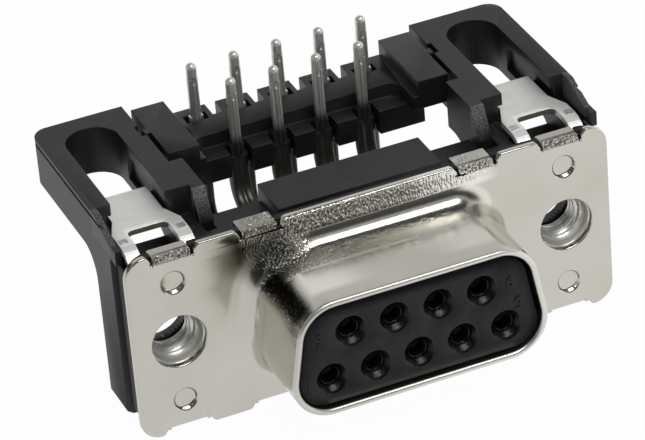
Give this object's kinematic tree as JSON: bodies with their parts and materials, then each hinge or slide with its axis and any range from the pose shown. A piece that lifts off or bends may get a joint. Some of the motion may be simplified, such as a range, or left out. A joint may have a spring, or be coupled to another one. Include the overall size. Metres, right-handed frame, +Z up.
{
  "type": "d-sub connector",
  "caption": "Right-angle D-sub socket connector for a circuit board, with a drawn nickel shell, black insulator and board brackets, solder tails and threaded jack screw inserts",
  "frame": {"origin": "on the flange front face, midway between the two jack screw holes", "axes": "+x to the right along the flange seen from the mating side, +y from the flange back towards the solder tails, +z up through the solder tails towards the circuit board"},
  "size_m": [0.0308, 0.0215, 0.0162],
  "materials": {
    "satin_nickel": "satin nickel plated drawn steel",
    "black_moulding": "moulded black glass-filled plastic",
    "contact_plating": "copper alloy, gold plated in the socket and tin plated on the tail",
    "matte_tin_strap": "matte tin plated stamped sheet",
    "plated_insert": "plated turned steel with a machine thread"
  },
  "bodies": {
    "root": {"front_shell": "satin_nickel", "socket_insulator": "black_moulding", "rear_housing": "black_moulding", "contact_1": "contact_plating", "contact_2": "contact_plating", "contact_3": "contact_plating", "contact_4": "contact_plating", "contact_5": "contact_plating", "contact_6": "contact_plating", "contact_7": "contact_plating", "contact_8": "contact_plating", "contact_9": "contact_plating", "left_bracket": "black_moulding", "right_bracket": "black_moulding", "left_strap": "matte_tin_strap", "right_strap": "matte_tin_strap", "left_insert": "plated_insert", "right_insert": "plated_insert", "pin_spacer": "black_moulding"}
  },
  "joints": []
}
